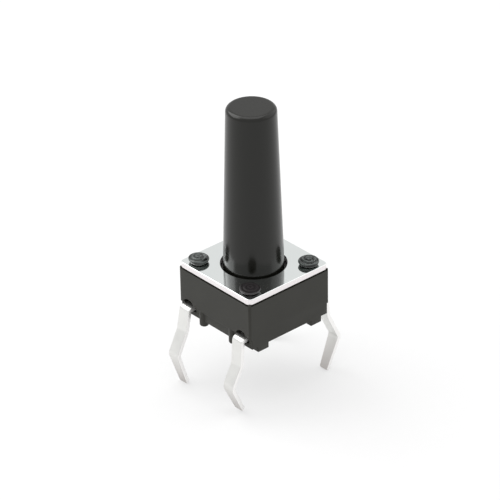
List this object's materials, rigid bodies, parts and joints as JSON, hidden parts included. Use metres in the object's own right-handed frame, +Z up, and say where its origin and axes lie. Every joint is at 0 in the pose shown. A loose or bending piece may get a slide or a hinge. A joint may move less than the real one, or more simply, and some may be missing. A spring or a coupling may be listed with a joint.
{
  "type": "tactile push button switch",
  "caption": "Through-hole tactile push button switch: square base with snap-in leads, metal cover and a long round tapered stem that clicks when pressed.",
  "frame": {"origin": "on the board, at the centre of the plane that the four feet and four pegs of the base stand on", "axes": "+Z up the stem, away from the board; X across the body, out of the two sides that the leads leave; Y along a side with leads"},
  "size_m": [0.0084, 0.006, 0.0174],
  "materials": {
    "base_plastic": "satin warm dark grey moulded plastic",
    "cover_metal": "polished stainless sheet with pale cut edges",
    "stem_plastic": "glossy black moulded plastic",
    "dome_metal": "bright spring steel",
    "lead_metal": "satin tin plate"
  },
  "bodies": {
    "switch_body": {"base": "base_plastic", "cover_plate": "cover_metal", "snap_dome": "dome_metal", "terminal_common": "lead_metal", "terminal_contact": "lead_metal"},
    "button": {"plunger": "stem_plastic"}
  },
  "joints": [
    {"name": "button_press", "type": "slide", "parent": "switch_body", "child": "button", "axis": [0, 0, 1], "range_m": [-0.00025, 0], "stiffness_N_per_m": 6400, "deforming": ["snap_dome"]}
  ]
}
